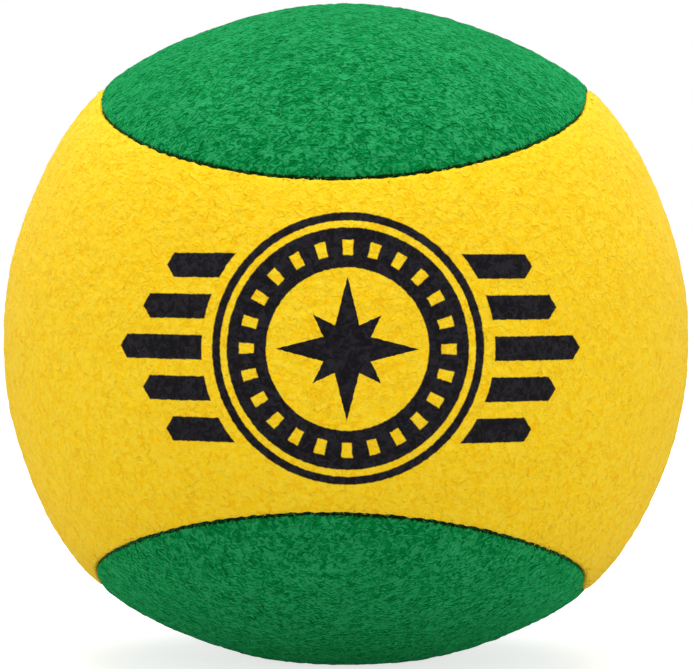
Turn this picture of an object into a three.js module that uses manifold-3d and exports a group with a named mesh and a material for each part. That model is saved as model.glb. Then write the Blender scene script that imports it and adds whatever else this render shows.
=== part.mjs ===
// A footbag: a round kicking bag sewn from two figure-eight panels of fleece cloth, turned right
// side out, filled with plastic pellets and sewn shut by hand. Millimetres, +Z up, the front towards
// -Y, the origin under the middle of the bag on the surface that it rests on.

import * as THREE from "three";
import { mergeVertices } from "three/addons/utils/BufferGeometryUtils.js";
import Module from "manifold-3d";

// The filled bag from outside, before its underside settles flat.
const bagWidth = 55;
const bagDepth = 54.2;
const bagHeight = 53.1;
const baseSettle = 0.5;

// The seam stands proud of the panels, and the lower half is a little fuller than the upper.
const seamSwell = 0.75;
const swellReach = 7.6;
const lowFullness = 0.45;

// The straight distance from seam to seam across the waist of a panel, and how far the seam swings
// to and fro as it winds round the bag: none of it would be a circle.
const waistWidth = 23.8;
const seamSwingShare = 0.427;

// The cloth, and how it is turned in along the seam.
const clothThickness = 1.2;
const seamAllowance = 3;
const foldRadius = 0.7;
const plyGap = 0.3;

// The lockstitch: two threads that hook round each other at every needle hole.
const threadDiameter = 0.35;
const threadClearance = 0.15;
const hookGap = 0.12;
const stitchPitch = 4.6;
const stitchDepth = 3;
const threadTail = 0.9;

// The gap that the bag was turned and filled through, and the hand stitch that shuts it.
const closingGap = 24;
const ladderPitch = 3;
const ladderDepth = 2;
const knotDiameter = 1.1;

// The pellets, and the slack space that the settled ones leave under the top of the bag.
const pelletDiameter = 3.6;
const pelletThickness = 2.4;
const pelletGap = 0.35;
const fillHeadroom = 10.8;
const fillClearance = 0.4;

// How far a cutting solid runs past the piece that it cuts.
const cutOverrun = 1;

// Counts, shares and angles that set how finely the shapes are drawn and how the pellets lie.
const seamColumns = 72;
const seamSamples = 480;
const clothRowShares = [0.3, 0.58, 0.82];
const fillRowShares = [0.5];
const spineReachShare = 2 / 3;
const foldSteps = 2;
const threadSides = 4;
const ladderSides = 6;
const pelletSides = 6;
const pelletShoulderShares = { radius: 0.78, height: 0.62 };
const loosePelletsMost = 48;
const pelletTilt = THREE.MathUtils.degToRad(9);
const pelletTurn = THREE.MathUtils.degToRad(137.5);

// Values that follow from the sizes above.
const middle = new THREE.Vector3(0, 0, bagHeight / 2 - baseSettle);
const meanRadius = (bagWidth + bagDepth + bagHeight) / 6;
const halfWaist = Math.asin(waistWidth / 2 / meanRadius);
const allowanceDepth = clothThickness + seamAllowance;
const innerFace = plyGap / 2 + clothThickness;
const threadFace = innerFace + threadClearance + threadDiameter / 2;
const knotFace = innerFace + threadClearance + knotDiameter / 2;
const hookReach = (threadDiameter + hookGap) / 2;
const loopReach = threadDiameter + hookGap;
const trenchHalf = knotFace + knotDiameter / 2 + fillClearance;
const trenchDepth = allowanceDepth + fillClearance;
const edgeRowDistance = trenchHalf + foldRadius;
const fillDepth = clothThickness + fillClearance;
const fillTop = bagHeight / 2 - clothThickness - fillHeadroom;
const fullTurn = 2 * Math.PI;

const wasm = await Module();
wasm.setup();

// Turns a closed geometry into a solid that can be joined and cut.
function solidOf(geometry) {
  const bare = geometry.clone();
  bare.deleteAttribute("normal");
  bare.deleteAttribute("uv");
  const merged = mergeVertices(bare);
  return new wasm.Manifold(
    new wasm.Mesh({
      numProp: 3,
      vertProperties: new Float32Array(merged.attributes.position.array),
      triVerts: new Uint32Array(merged.index.array),
    })
  );
}

// Turns a solid back into a geometry.
function geometryOf(solid) {
  const mesh = solid.getMesh();
  const geometry = new THREE.BufferGeometry();
  geometry.setAttribute("position", new THREE.BufferAttribute(mesh.vertProperties, 3));
  geometry.setIndex(new THREE.BufferAttribute(mesh.triVerts, 1));
  geometry.computeVertexNormals();
  return geometry;
}

// The seam as a direction from the bag's middle. It is one closed curve that winds once round the
// bag, and the angle runs along it: 0 is at the back right, a quarter turn later it is over the
// front, and so on round.
const curveRise = (1 - seamSwingShare) / Math.tan(halfWaist);

function seamDirection(angle) {
  return new THREE.Vector3(
    Math.cos(angle) - seamSwingShare * Math.cos(3 * angle),
    curveRise * Math.cos(2 * angle),
    Math.sin(angle) + seamSwingShare * Math.sin(3 * angle)
  ).normalize();
}

const seamPoints = Array.from({ length: seamSamples }, (_, index) =>
  seamDirection((fullTurn * index) / seamSamples)
);

function distanceFromSeam(direction) {
  const nearest = Math.max(...seamPoints.map((point) => point.dot(direction)));
  return Math.acos(Math.min(nearest, 1)) * meanRadius;
}

// The bag's outer radius in a direction: an ellipsoid, the swell along the seam, and the fullness
// of the lower half.
function outerRadius(direction) {
  const { x, y, z } = direction;
  const ellipsoid = 1 / Math.hypot(x / (bagWidth / 2), y / (bagDepth / 2), z / (bagHeight / 2));
  const swell = seamSwell * Math.exp(-((distanceFromSeam(direction) / swellReach) ** 2));
  const lowSide = z < 0 ? lowFullness * 2 * Math.abs(z) * Math.hypot(x, y) : 0;
  return ellipsoid + swell + lowSide;
}

// A point of the bag in a direction, a given depth under its outer surface.
function surfacePoint(direction, depth) {
  return direction.clone().multiplyScalar(outerRadius(direction) - depth);
}

// The frame at a place on the seam: along it, out of the bag, and across it towards the yellow panel.
function seamFrame(angle) {
  const step = fullTurn / seamSamples / 2;
  const out = seamDirection(angle);
  const along = seamDirection(angle + step).sub(seamDirection(angle - step)).normalize();
  const across = new THREE.Vector3().crossVectors(out, along).normalize();
  return { along, out, across, radius: outerRadius(out) };
}

// A point near the seam: so far along the frame, so far across it, and so deep under the surface.
function nearSeam(frame, along, across, depth) {
  return frame.out
    .clone()
    .multiplyScalar(frame.radius - depth)
    .addScaledVector(frame.along, along)
    .addScaledVector(frame.across, across);
}

// The two panels. Each has a spine, a great-circle arc down its middle from one lobe to the other:
// the yellow one lies level round the front, the green one stands upright over the back.
const spineReach = (Math.PI - halfWaist) * spineReachShare;

const yellowSide = {
  across: 1,
  firstTip: 0,
  spine: (angle) => {
    const turn = spineReach * Math.cos(angle);
    return new THREE.Vector3(Math.sin(turn), -Math.cos(turn), 0);
  },
};

const greenSide = {
  across: -1,
  firstTip: seamColumns / 4,
  spine: (angle) => {
    const turn = spineReach * Math.sin(angle);
    return new THREE.Vector3(0, Math.cos(turn), Math.sin(turn));
  },
};

const columnAngles = Array.from({ length: seamColumns }, (_, column) => (fullTurn * column) / seamColumns);
const columnFrames = columnAngles.map(seamFrame);

// A ring of points parallel to the seam, on one side of it and square to it.
function seamRing(side, across, depth) {
  return columnFrames.map((frame) => nearSeam(frame, 0, side.across * across, depth));
}

// The directions of a ring further from the seam, where the bag's curve counts.
function ringDirections(side, across) {
  return seamRing(side, across, 0).map((point) => point.normalize());
}

// Rings that fill the field between the seam and the spine, the outermost first, and the spine last.
function fieldRings(side, depth, rowShares) {
  const edges = ringDirections(side, edgeRowDistance);
  const spine = columnAngles.map(side.spine);
  return [0, ...rowShares, 1].map((share) =>
    edges.map((edge, column) => {
      const turn = edge.angleTo(spine[column]);
      const direction = edge
        .clone()
        .multiplyScalar(Math.sin((1 - share) * turn))
        .addScaledVector(spine[column], Math.sin(share * turn))
        .normalize();
      return surfacePoint(direction, depth);
    })
  );
}

// The column whose spine point a column shares, because the spine is passed on both of its sides.
function spineColumn(side, column) {
  const fromTip = (column - side.firstTip + seamColumns) % seamColumns;
  const folded = Math.min(fromTip, seamColumns - fromTip);
  return (folded + side.firstTip) % seamColumns;
}

// A closed skin through a list of rings. The first and the last ring are spines.
function skin(rings, firstSide, lastSide) {
  const positions = rings.flat().flatMap((point) => [point.x, point.y, point.z]);
  const vertex = (ring, column) => {
    const wrapped = column % seamColumns;
    const side = ring === 0 ? firstSide : lastSide;
    const onSpine = ring === 0 || ring === rings.length - 1;
    return ring * seamColumns + (onSpine ? spineColumn(side, wrapped) : wrapped);
  };
  const faces = [];
  for (let ring = 0; ring + 1 < rings.length; ring += 1) {
    for (let column = 0; column < seamColumns; column += 1) {
      const corners = [
        vertex(ring, column),
        vertex(ring, column + 1),
        vertex(ring + 1, column + 1),
        vertex(ring + 1, column),
      ];
      faces.push([corners[0], corners[1], corners[2]], [corners[0], corners[2], corners[3]]);
    }
  }
  const geometry = new THREE.BufferGeometry();
  geometry.setAttribute("position", new THREE.Float32BufferAttribute(positions, 3));
  geometry.setIndex(faces.filter((face) => new Set(face).size === 3).flat());
  return facingOut(geometry);
}

// The same geometry with its faces turned round if they point inwards.
function facingOut(geometry) {
  const position = geometry.attributes.position;
  const index = Array.from(geometry.index.array);
  const corner = (place) => new THREE.Vector3().fromBufferAttribute(position, index[place]);
  let volume = 0;
  for (let face = 0; face < index.length; face += 3) {
    volume += corner(face).dot(corner(face + 1).cross(corner(face + 2)));
  }
  if (volume < 0) {
    for (let face = 0; face < index.length; face += 3) {
      [index[face + 1], index[face + 2]] = [index[face + 2], index[face + 1]];
    }
    geometry.setIndex(index);
  }
  return geometry;
}

// A panel: its outer field, the rounded shoulder at the seam, the allowance that is turned in
// against its neighbour's, and its inner field.
function panel(side) {
  const shoulder = Array.from({ length: foldSteps + 1 }, (_, step) => {
    const turn = ((Math.PI / 2) * step) / foldSteps;
    const across = plyGap / 2 + foldRadius * (1 - Math.sin(turn));
    return seamRing(side, across, foldRadius * (1 - Math.cos(turn)));
  });
  const allowance = [
    seamRing(side, plyGap / 2, allowanceDepth),
    seamRing(side, innerFace, allowanceDepth),
    seamRing(side, innerFace, clothThickness),
  ];
  const outer = fieldRings(side, 0, clothRowShares).reverse();
  const inner = fieldRings(side, clothThickness, clothRowShares);
  return skin([...outer, ...shoulder, ...allowance, ...inner], side, side);
}

// The seam's length along the stitches, as a list that turns a distance into an angle.
const stitchLine = [{ angle: 0, distance: 0 }];
for (let index = 1; index <= seamSamples; index += 1) {
  const last = stitchLine[index - 1];
  const angle = (fullTurn * index) / seamSamples;
  const from = surfacePoint(seamDirection(last.angle), stitchDepth);
  const to = surfacePoint(seamDirection(angle), stitchDepth);
  stitchLine.push({ angle, distance: last.distance + from.distanceTo(to) });
}
const seamLength = stitchLine[seamSamples].distance;

function frameAtDistance(distance) {
  const wrapped = ((distance % seamLength) + seamLength) % seamLength;
  const next = Math.max(1, stitchLine.findIndex((entry) => entry.distance >= wrapped));
  const before = stitchLine[next - 1];
  const after = stitchLine[next];
  const share = (wrapped - before.distance) / (after.distance - before.distance);
  return seamFrame(THREE.MathUtils.lerp(before.angle, after.angle, share));
}

// The frames of a row of evenly spaced needle holes along a stretch of the seam.
function holeFrames(start, end, pitch) {
  const spaces = Math.max(1, Math.round((end - start) / pitch));
  return Array.from({ length: spaces + 1 }, (_, hole) =>
    frameAtDistance(THREE.MathUtils.lerp(start, end, hole / spaces))
  );
}

// The hand-sewn gap is centred on the seam at the back right, and the machine seam fills the rest.
const machineHoles = holeFrames(closingGap / 2, seamLength - closingGap / 2, stitchPitch);
const ladderHoles = holeFrames(-closingGap / 2 + ladderPitch, closingGap / 2 - ladderPitch, ladderPitch);

// A square needle hole through the turned-in edge of one panel for each frame, as one cutting solid.
function needleHoles(frames, side, size, depth) {
  const across = side.across * (plyGap / 2 + clothThickness / 2);
  const holes = frames.map((frame) => {
    const box = new THREE.BoxGeometry(size, clothThickness + 2 * plyGap, size);
    const place = new THREE.Matrix4().makeBasis(frame.along, frame.across, frame.out);
    place.setPosition(nearSeam(frame, 0, across, depth));
    return solidOf(box.applyMatrix4(place));
  });
  return wasm.Manifold.union(holes);
}

// A thread: a tube of flat sides along straight runs, mitred at every corner. The upright is any
// direction that the first run doesn't follow.
function threadGeometry(points, upright, sides) {
  const directions = points
    .slice(1)
    .map((point, index) => point.clone().sub(points[index]).normalize());
  const first = new THREE.Vector3().crossVectors(directions[0], upright).normalize();
  const second = new THREE.Vector3().crossVectors(directions[0], first);
  const spokes = Array.from({ length: sides }, (_, spoke) => {
    const turn = (fullTurn * (spoke + 0.5)) / sides;
    return first
      .clone()
      .multiplyScalar((Math.cos(turn) * threadDiameter) / 2)
      .addScaledVector(second, (Math.sin(turn) * threadDiameter) / 2);
  });
  const positions = [];
  points.forEach((point, index) => {
    const incoming = directions[Math.max(index - 1, 0)];
    const outgoing = directions[Math.min(index, directions.length - 1)];
    const mitre = incoming.clone().add(outgoing).normalize();
    spokes.forEach((spoke) => {
      const slide = -spoke.dot(mitre) / incoming.dot(mitre);
      const corner = point.clone().add(spoke).addScaledVector(incoming, slide);
      positions.push(corner.x, corner.y, corner.z);
    });
    const turn = new THREE.Quaternion().setFromUnitVectors(incoming, outgoing);
    spokes.forEach((spoke) => spoke.applyQuaternion(turn));
  });
  const faces = [];
  for (let run = 0; run + 1 < points.length; run += 1) {
    for (let spoke = 0; spoke < sides; spoke += 1) {
      const here = run * sides + spoke;
      const beside = run * sides + ((spoke + 1) % sides);
      faces.push(here, beside, beside + sides, here, beside + sides, here + sides);
    }
  }
  const lastRing = (points.length - 1) * sides;
  for (let spoke = 1; spoke + 1 < sides; spoke += 1) {
    faces.push(0, spoke + 1, spoke);
    faces.push(lastRing, lastRing + spoke, lastRing + spoke + 1);
  }
  const geometry = new THREE.BufferGeometry();
  geometry.setAttribute("position", new THREE.Float32BufferAttribute(positions, 3));
  geometry.setIndex(faces);
  return facingOut(geometry);
}

// The needle thread runs along the yellow edge. At each hole it dips through in a loop that lies
// along the seam and comes back out.
function needleThread() {
  const points = machineHoles.flatMap((frame) => [
    nearSeam(frame, -loopReach, threadFace, stitchDepth),
    nearSeam(frame, -loopReach, -hookReach, stitchDepth),
    nearSeam(frame, loopReach, -hookReach, stitchDepth),
    nearSeam(frame, loopReach, threadFace, stitchDepth),
  ]);
  const start = nearSeam(machineHoles[0], -loopReach - threadTail, threadFace, stitchDepth);
  const end = nearSeam(machineHoles.at(-1), loopReach + threadTail, threadFace, stitchDepth);
  return threadGeometry([start, ...points, end], machineHoles[0].out, threadSides);
}

// The bobbin thread runs along the green edge. Its loops stand square to the needle thread's loops
// and pass through them, which is what locks the stitch.
function bobbinThread() {
  const points = machineHoles.flatMap((frame) => [
    nearSeam(frame, 0, -threadFace, stitchDepth - loopReach),
    nearSeam(frame, 0, hookReach, stitchDepth - loopReach),
    nearSeam(frame, 0, hookReach, stitchDepth + loopReach),
    nearSeam(frame, 0, -threadFace, stitchDepth + loopReach),
  ]);
  const start = nearSeam(machineHoles[0], -threadTail, -threadFace, stitchDepth - loopReach);
  const end = nearSeam(machineHoles.at(-1), threadTail, -threadFace, stitchDepth + loopReach);
  return threadGeometry([start, ...points, end], machineHoles[0].out, threadSides);
}

// The hand stitch crosses from edge to edge like the rungs of a ladder and ends in a knot.
function closingThread() {
  const points = ladderHoles.flatMap((frame, rung) => {
    const from = rung % 2 === 0 ? threadFace : -threadFace;
    return [nearSeam(frame, 0, from, ladderDepth), nearSeam(frame, 0, -from, ladderDepth)];
  });
  const lastSide = ladderHoles.length % 2 === 0 ? knotFace : -knotFace;
  const start = nearSeam(ladderHoles[0], -threadTail, threadFace, ladderDepth);
  const end = nearSeam(ladderHoles.at(-1), threadTail, lastSide, ladderDepth);
  const thread = threadGeometry([start, ...points, end], ladderHoles[0].out, ladderSides);
  const knot = new THREE.IcosahedronGeometry(knotDiameter / 2, 1);
  knot.translate(end.x, end.y, end.z);
  return geometryOf(solidOf(thread).add(solidOf(knot)));
}

// A panel with its needle holes: the machine's fit the loops of both threads, and the ladder's fit
// one strand.
const loopHole = 2 * (loopReach + threadDiameter / 2 + threadClearance);
const strandHole = threadDiameter + 2 * threadClearance;

function sewnPanel(side) {
  const machine = needleHoles(machineHoles, side, loopHole, stitchDepth);
  const ladder = needleHoles(ladderHoles, side, strandHole, ladderDepth);
  return solidOf(panel(side)).subtract(machine).subtract(ladder);
}

// The green panel's underside, which the bag rests on, is pressed flat.
function greenPanel() {
  const height = baseSettle + cutOverrun;
  const floor = new THREE.BoxGeometry(bagWidth, bagDepth, height);
  floor.translate(0, 0, -middle.z - height / 2);
  return sewnPanel(greenSide).subtract(solidOf(floor));
}

// The settled pellets as one body. It fills the bag up to its own level top and leaves a trench for
// the turned-in edges and their threads.
function pelletBed() {
  const half = (side) => [
    seamRing(side, trenchHalf, trenchDepth),
    ringDirections(side, trenchHalf).map((direction) => surfacePoint(direction, fillDepth)),
    ...fieldRings(side, fillDepth, fillRowShares),
  ];
  const rings = [...half(yellowSide).reverse(), seamRing(yellowSide, 0, trenchDepth), ...half(greenSide)];
  const above = new THREE.BoxGeometry(bagWidth, bagDepth, bagHeight);
  above.translate(0, 0, fillTop + bagHeight / 2);
  return geometryOf(solidOf(skin(rings, yellowSide, greenSide)).subtract(solidOf(above)));
}

// One pellet: a plump lens, flat side up.
function pelletGeometry() {
  const shoulderRadius = (pelletDiameter / 2) * pelletShoulderShares.radius;
  const shoulderHeight = (pelletThickness / 2) * pelletShoulderShares.height;
  const profile = [
    new THREE.Vector2(0, -pelletThickness / 2),
    new THREE.Vector2(shoulderRadius, -shoulderHeight),
    new THREE.Vector2(pelletDiameter / 2, 0),
    new THREE.Vector2(shoulderRadius, shoulderHeight),
    new THREE.Vector2(0, pelletThickness / 2),
  ];
  return new THREE.LatheGeometry(profile, pelletSides).rotateX(Math.PI / 2);
}

// The places of the loose pellets: a triangular grid on the settled ones, without those that would
// touch the cover or a turned-in edge. A cell's order grows with its distance from the middle.
const allowanceEnds = seamPoints.map((point) => surfacePoint(point, allowanceDepth));

function hasRoom(place) {
  const direction = place.clone().normalize();
  const cover = outerRadius(direction) - clothThickness - pelletDiameter / 2 - pelletGap;
  const fromEdge = Math.min(...allowanceEnds.map((end) => end.distanceTo(place)));
  return place.length() < cover && fromEdge > trenchHalf + pelletDiameter / 2;
}

function loosePelletPlaces() {
  const pitch = pelletDiameter + pelletGap;
  const rowPitch = pitch * Math.sin(Math.PI / 3);
  const rows = Math.ceil(bagDepth / 2 / rowPitch);
  const height = fillTop + pelletThickness / 2 + pelletGap;
  const cells = [];
  for (let row = -rows; row <= rows; row += 1) {
    for (let column = -2 * rows; column <= 2 * rows; column += 1) {
      const place = new THREE.Vector3((column + row / 2) * pitch, row * rowPitch, height);
      cells.push({ place, order: column ** 2 + column * row + row ** 2 });
    }
  }
  return cells
    .filter((cell) => hasRoom(cell.place))
    .sort((first, second) => first.order - second.order)
    .slice(0, loosePelletsMost)
    .map((cell) => cell.place);
}

// The materials, one for each finish.
function material(name, color, roughness) {
  return new THREE.MeshStandardMaterial({ name, color, roughness, metalness: 0 });
}

const yellowFleece = material("yellow fleece", 0xfcd420, 0.95);
const greenFleece = material("green fleece", 0x1e964b, 0.95);
const polyesterThread = material("polyester thread", 0xe9e4d4, 0.7);
const pelletPlastic = material("pellet plastic", 0xe6e8ea, 0.45);

// The bag, moved so that its flat underside rests on the origin's plane.
const bag = new THREE.Group();
bag.position.copy(middle);

function addPiece(name, geometry, finish) {
  const piece = new THREE.Mesh(geometry, finish);
  piece.name = name;
  bag.add(piece);
  return piece;
}

addPiece("yellow_panel", geometryOf(sewnPanel(yellowSide)), yellowFleece);
addPiece("green_panel", geometryOf(greenPanel()), greenFleece);
addPiece("needle_thread", needleThread(), polyesterThread);
addPiece("bobbin_thread", bobbinThread(), polyesterThread);
addPiece("closing_thread", closingThread(), polyesterThread);
addPiece("pellet_bed", pelletBed(), pelletPlastic);

loosePelletPlaces().forEach((place, index) => {
  const number = String(index + 1).padStart(2, "0");
  const pellet = addPiece(`pellet_${number}`, pelletGeometry(), pelletPlastic);
  const turn = index * pelletTurn;
  pellet.position.copy(place);
  pellet.rotation.set(pelletTilt * Math.cos(turn), pelletTilt * Math.sin(turn), turn);
});

export default new THREE.Group().add(bag);
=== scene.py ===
"""A footbag: two figure-eight panels of napped fleece, sewn into a ball and filled with pellets."""
import math
import random

import bmesh
import bpy
import numpy as np
from mathutils import Euler, Matrix, Vector


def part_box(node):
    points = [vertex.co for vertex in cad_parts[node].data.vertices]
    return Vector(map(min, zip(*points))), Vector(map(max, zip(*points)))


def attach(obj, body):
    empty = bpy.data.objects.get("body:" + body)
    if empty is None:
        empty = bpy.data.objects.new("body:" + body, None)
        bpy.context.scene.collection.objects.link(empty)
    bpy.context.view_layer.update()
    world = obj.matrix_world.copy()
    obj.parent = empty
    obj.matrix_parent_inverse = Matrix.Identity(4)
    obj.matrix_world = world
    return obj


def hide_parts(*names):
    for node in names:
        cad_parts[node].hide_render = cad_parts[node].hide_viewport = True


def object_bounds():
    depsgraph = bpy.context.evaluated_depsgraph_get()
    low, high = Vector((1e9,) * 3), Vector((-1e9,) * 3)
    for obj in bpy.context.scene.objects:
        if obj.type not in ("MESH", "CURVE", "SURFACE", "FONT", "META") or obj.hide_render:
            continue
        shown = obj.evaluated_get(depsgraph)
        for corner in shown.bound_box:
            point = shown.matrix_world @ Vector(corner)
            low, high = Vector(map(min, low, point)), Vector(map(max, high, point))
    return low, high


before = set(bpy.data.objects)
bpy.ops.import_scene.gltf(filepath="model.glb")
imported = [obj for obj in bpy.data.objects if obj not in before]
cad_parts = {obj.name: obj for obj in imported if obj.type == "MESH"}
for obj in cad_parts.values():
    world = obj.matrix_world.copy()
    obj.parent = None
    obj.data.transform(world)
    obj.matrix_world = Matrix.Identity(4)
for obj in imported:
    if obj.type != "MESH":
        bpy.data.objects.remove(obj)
CAD_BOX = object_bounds()

# Sizes in the script are in millimetres, and this turns them into Blender's metres.
MM = 0.001

# The filled bag, with the values that the frame's solids were made from.
BAG_WIDTH = 55.0
BAG_DEPTH = 54.2
BAG_HEIGHT = 53.1
SEAM_SWELL = 0.75
SWELL_REACH = 7.6
LOW_FULLNESS = 0.45
WAIST_WIDTH = 23.8
SEAM_SWING_SHARE = 0.427
CLOTH_THICKNESS = 1.2
SEAM_ALLOWANCE = 3.0
PLY_GAP = 0.3
THREAD_DIAMETER = 0.35
THREAD_CLEARANCE = 0.15
HOOK_GAP = 0.12
STITCH_PITCH = 4.6
STITCH_DEPTH = 3.0
THREAD_TAIL = 0.9
CLOSING_GAP = 24.0
LADDER_PITCH = 3.0
LADDER_DEPTH = 2.0
KNOT_DIAMETER = 1.1
PELLET_DIAMETER = 3.6
PELLET_THICKNESS = 2.4
FILL_HEADROOM = 10.8
FILL_CLEARANCE = 0.4
PELLET_TILT = math.radians(9)
PELLET_TURN = math.radians(137.5)
FULL_TURN = 2 * math.pi

# What follows from those values.
MEAN_RADIUS = (BAG_WIDTH + BAG_DEPTH + BAG_HEIGHT) / 6
HALF_WAIST = math.asin(WAIST_WIDTH / 2 / MEAN_RADIUS)
SPINE_REACH = (math.pi - HALF_WAIST) * 2 / 3
MIDDLE = np.array([0.0, 0.0, CAD_BOX[1][2] / MM - BAG_HEIGHT / 2])
ALLOWANCE_DEPTH = CLOTH_THICKNESS + SEAM_ALLOWANCE
INNER_FACE = PLY_GAP / 2 + CLOTH_THICKNESS
THREAD_FACE = INNER_FACE + THREAD_CLEARANCE + THREAD_DIAMETER / 2
KNOT_FACE = INNER_FACE + THREAD_CLEARANCE + KNOT_DIAMETER / 2
TRENCH_HALF = KNOT_FACE + KNOT_DIAMETER / 2 + FILL_CLEARANCE

# How finely the panels are drawn: columns along the seam, and rings from the spine to where the rolled
# edge starts.
COLUMNS = 1120
FIELD_RINGS = 71
INNER_RINGS = 4
FIELD_START = 1.3

# The rolled edge of a panel beside the seam: how far from the seam, and how deep, ring by ring. The
# share of the pile is what is left of it at the seam.
EDGE_PILE_SHARE = 0.35
GREEN_EDGE = [(0.80, 0.0), (0.40, 0.01), (0.18, 0.03), (0.07, 0.10), (0.02, 0.30), (0.01, 0.95)]
YELLOW_EDGE = [(0.95, 0.0), (0.54, 0.01), (0.32, 0.03), (0.21, 0.10), (0.16, 0.30), (0.15, 0.95)]

# Near the corners of the front the seam strays to the green side: about which angle from the middle of
# its upper and its lower arc, over how wide a stretch of angle, and how far in millimetres.
UPPER_DRIFT = (math.radians(39), math.radians(6.5), 0.7)
LOWER_DRIFT = (math.radians(39), math.radians(5.5), 1.2)

# The pile of the fleece: its tufts stand proud or lie low by these amounts. Noise pushes them aside, with
# its size and its reach as shares of a tuft's size.
TUFT_SIZE = 0.62
WARP_SIZE_SHARE = 1.7
WARP_REACH_SHARE = 0.6
TUFT_HEIGHT = 0.05
LUMP_SIZE = 3.4
LUMP_HEIGHT = 0.04
PILE_DEPTH = 0.08

# How softly the underside is pressed flat on what the bag rests on.
BASE_ROUNDING = 0.12

# The nap: short curled fibres that lie on the cloth's outer face, in a few pieces for each panel.
NAP_PIECES = 3
NAP_FIBRES = 16000
FIBRE_LENGTHS = (0.30, 0.62)
FIBRE_RADIUS = 0.046
FIBRE_LIFTS = (-0.03, 0.07, 0.10, 0.03)
FIBRE_LOFT_SHARES = (0.4, 1.3)
FIBRE_BEND = 1.5
FIBRE_TONES = (0.4, 1.5)
LEAST_PILE_SHARE = 0.4
FIBRE_MAP = "OFBake"
MAP_MARGIN_SHARE = 0.12

# Tufts of yellow fibre that cross the seam line, uneven in width, spacing and reach, and the width of
# the shade painted along it.
TOOTH_PITCH = 0.85
TOOTH_WIDTH_SHARES = (0.35, 0.6)
TOOTH_SPACING_SHARES = (0.6, 1.5)
TOOTH_REACH = 0.18
TOOTH_REACH_SHARES = (0.35, 1.0)
SEAM_SHADE_WIDTH = 0.17

# Where each series of random draws starts, so that every run gives the same bag.
TEETH_SEED = 11
HEAP_SEED = 21
GREEN_PILE_SEED = 100
YELLOW_PILE_SEED = 200
GREEN_NAP_SEED = 300
YELLOW_NAP_SEED = 400

# The camera and what it sees, from the photograph's perspective.
PHOTO_WIDTH = 692
CAMERA_DISTANCE = 250.0
CAMERA_SIDE = math.radians(2.45)
CAMERA_RISE = math.radians(1.85)
CAMERA_ROLL = math.radians(0.28)
CAMERA_DROP = 0.02
FOCAL_PIXELS = 3084
SENSOR_WIDTH = 36.0
CLIP_START = 10.0


def srgb(red, green, blue):
    """A colour given as it looks on screen, 0 to 255, as the linear colour that a shader takes."""
    shares = [channel / 255 for channel in (red, green, blue)]
    linear = [s / 12.92 if s <= 0.04045 else ((s + 0.055) / 1.055) ** 2.4 for s in shares]
    return (*linear, 1.0)


# Shapes that all of the soft pieces share.

def unit(vectors):
    return vectors / np.linalg.norm(vectors, axis=-1, keepdims=True)


def seam_direction(angle):
    """The seam as directions from the bag's middle: one closed curve that winds once round the bag."""
    rise = (1 - SEAM_SWING_SHARE) / math.tan(HALF_WAIST)
    across = np.cos(angle) - SEAM_SWING_SHARE * np.cos(3 * angle)
    back = rise * np.cos(2 * angle)
    up = np.sin(angle) + SEAM_SWING_SHARE * np.sin(3 * angle)
    return unit(np.stack([across, back, up], axis=-1))


SEAM_SAMPLES = 2400
SAMPLE_ANGLES = np.linspace(0, FULL_TURN, SEAM_SAMPLES, endpoint=False)
SAMPLE_DIRECTIONS = seam_direction(SAMPLE_ANGLES)


def line_distance(directions, line):
    """How far each direction lies from a line of directions, over the bag's surface."""
    nearest = np.empty(len(directions))
    batch = 8000
    for start in range(0, len(directions), batch):
        part = directions[start:start + batch].astype(np.float32)
        nearest[start:start + batch] = (part @ line.T.astype(np.float32)).max(axis=1)
    return np.arccos(np.clip(nearest, -1, 1)) * MEAN_RADIUS


def seam_distance(directions):
    return line_distance(directions, SAMPLE_DIRECTIONS)


def outer_radius(directions):
    """The bag's outer radius: an ellipsoid, a swell along the seam, and a fuller lower half."""
    x, y, z = directions.T
    ellipsoid = 1 / np.sqrt((2 * x / BAG_WIDTH) ** 2 + (2 * y / BAG_DEPTH) ** 2 + (2 * z / BAG_HEIGHT) ** 2)
    swell = SEAM_SWELL * np.exp(-((seam_distance(directions) / SWELL_REACH) ** 2))
    low_side = np.where(z < 0, LOW_FULLNESS * 2 * np.abs(z) * np.hypot(x, y), 0)
    return ellipsoid + swell + low_side


def surface_points(directions, depth):
    return directions * (outer_radius(directions) - depth)[:, None]


def even_angles(count):
    """Angles that step evenly along the seam's length."""
    closed = np.append(SAMPLE_ANGLES, FULL_TURN)
    steps = np.linalg.norm(np.diff(seam_direction(closed), axis=0), axis=1)
    lengths = np.concatenate([[0], np.cumsum(steps)])
    return np.interp(np.linspace(0, lengths[-1], count, endpoint=False), lengths, closed)


class SeamFrames:
    """The places along the seam, with the directions out of the bag and across to the yellow side."""

    def __init__(self, angles):
        step = FULL_TURN / SEAM_SAMPLES
        self.angles = angles
        self.out = seam_direction(angles)
        self.along = unit(seam_direction(angles + step) - seam_direction(angles - step))
        self.across = np.cross(self.out, self.along)
        self.radius = outer_radius(self.out)

    def points(self, across, depth, along=0.0):
        """Points so far across the seam, so deep under the surface and so far along."""
        sideways = self.across * np.broadcast_to(across, self.angles.shape)[:, None]
        return self.out * (self.radius - depth)[:, None] + sideways + self.along * along


def seam_drift(angles):
    """How far the seam's outer edge strays across, which is below zero towards the green side."""
    drift = np.zeros(len(angles))
    for arc, (away, stretch, reach) in ((FULL_TURN / 4, UPPER_DRIFT), (FULL_TURN * 3 / 4, LOWER_DRIFT)):
        drift -= reach * np.exp(-(((np.abs(angles - arc) - away) / stretch) ** 2))
    return drift


COLUMN_FRAMES = SeamFrames(even_angles(COLUMNS))
COLUMN_DRIFT = seam_drift(COLUMN_FRAMES.angles)
VISIBLE_SEAM = unit(SeamFrames(SAMPLE_ANGLES).points(seam_drift(SAMPLE_ANGLES), 0.0))


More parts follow.
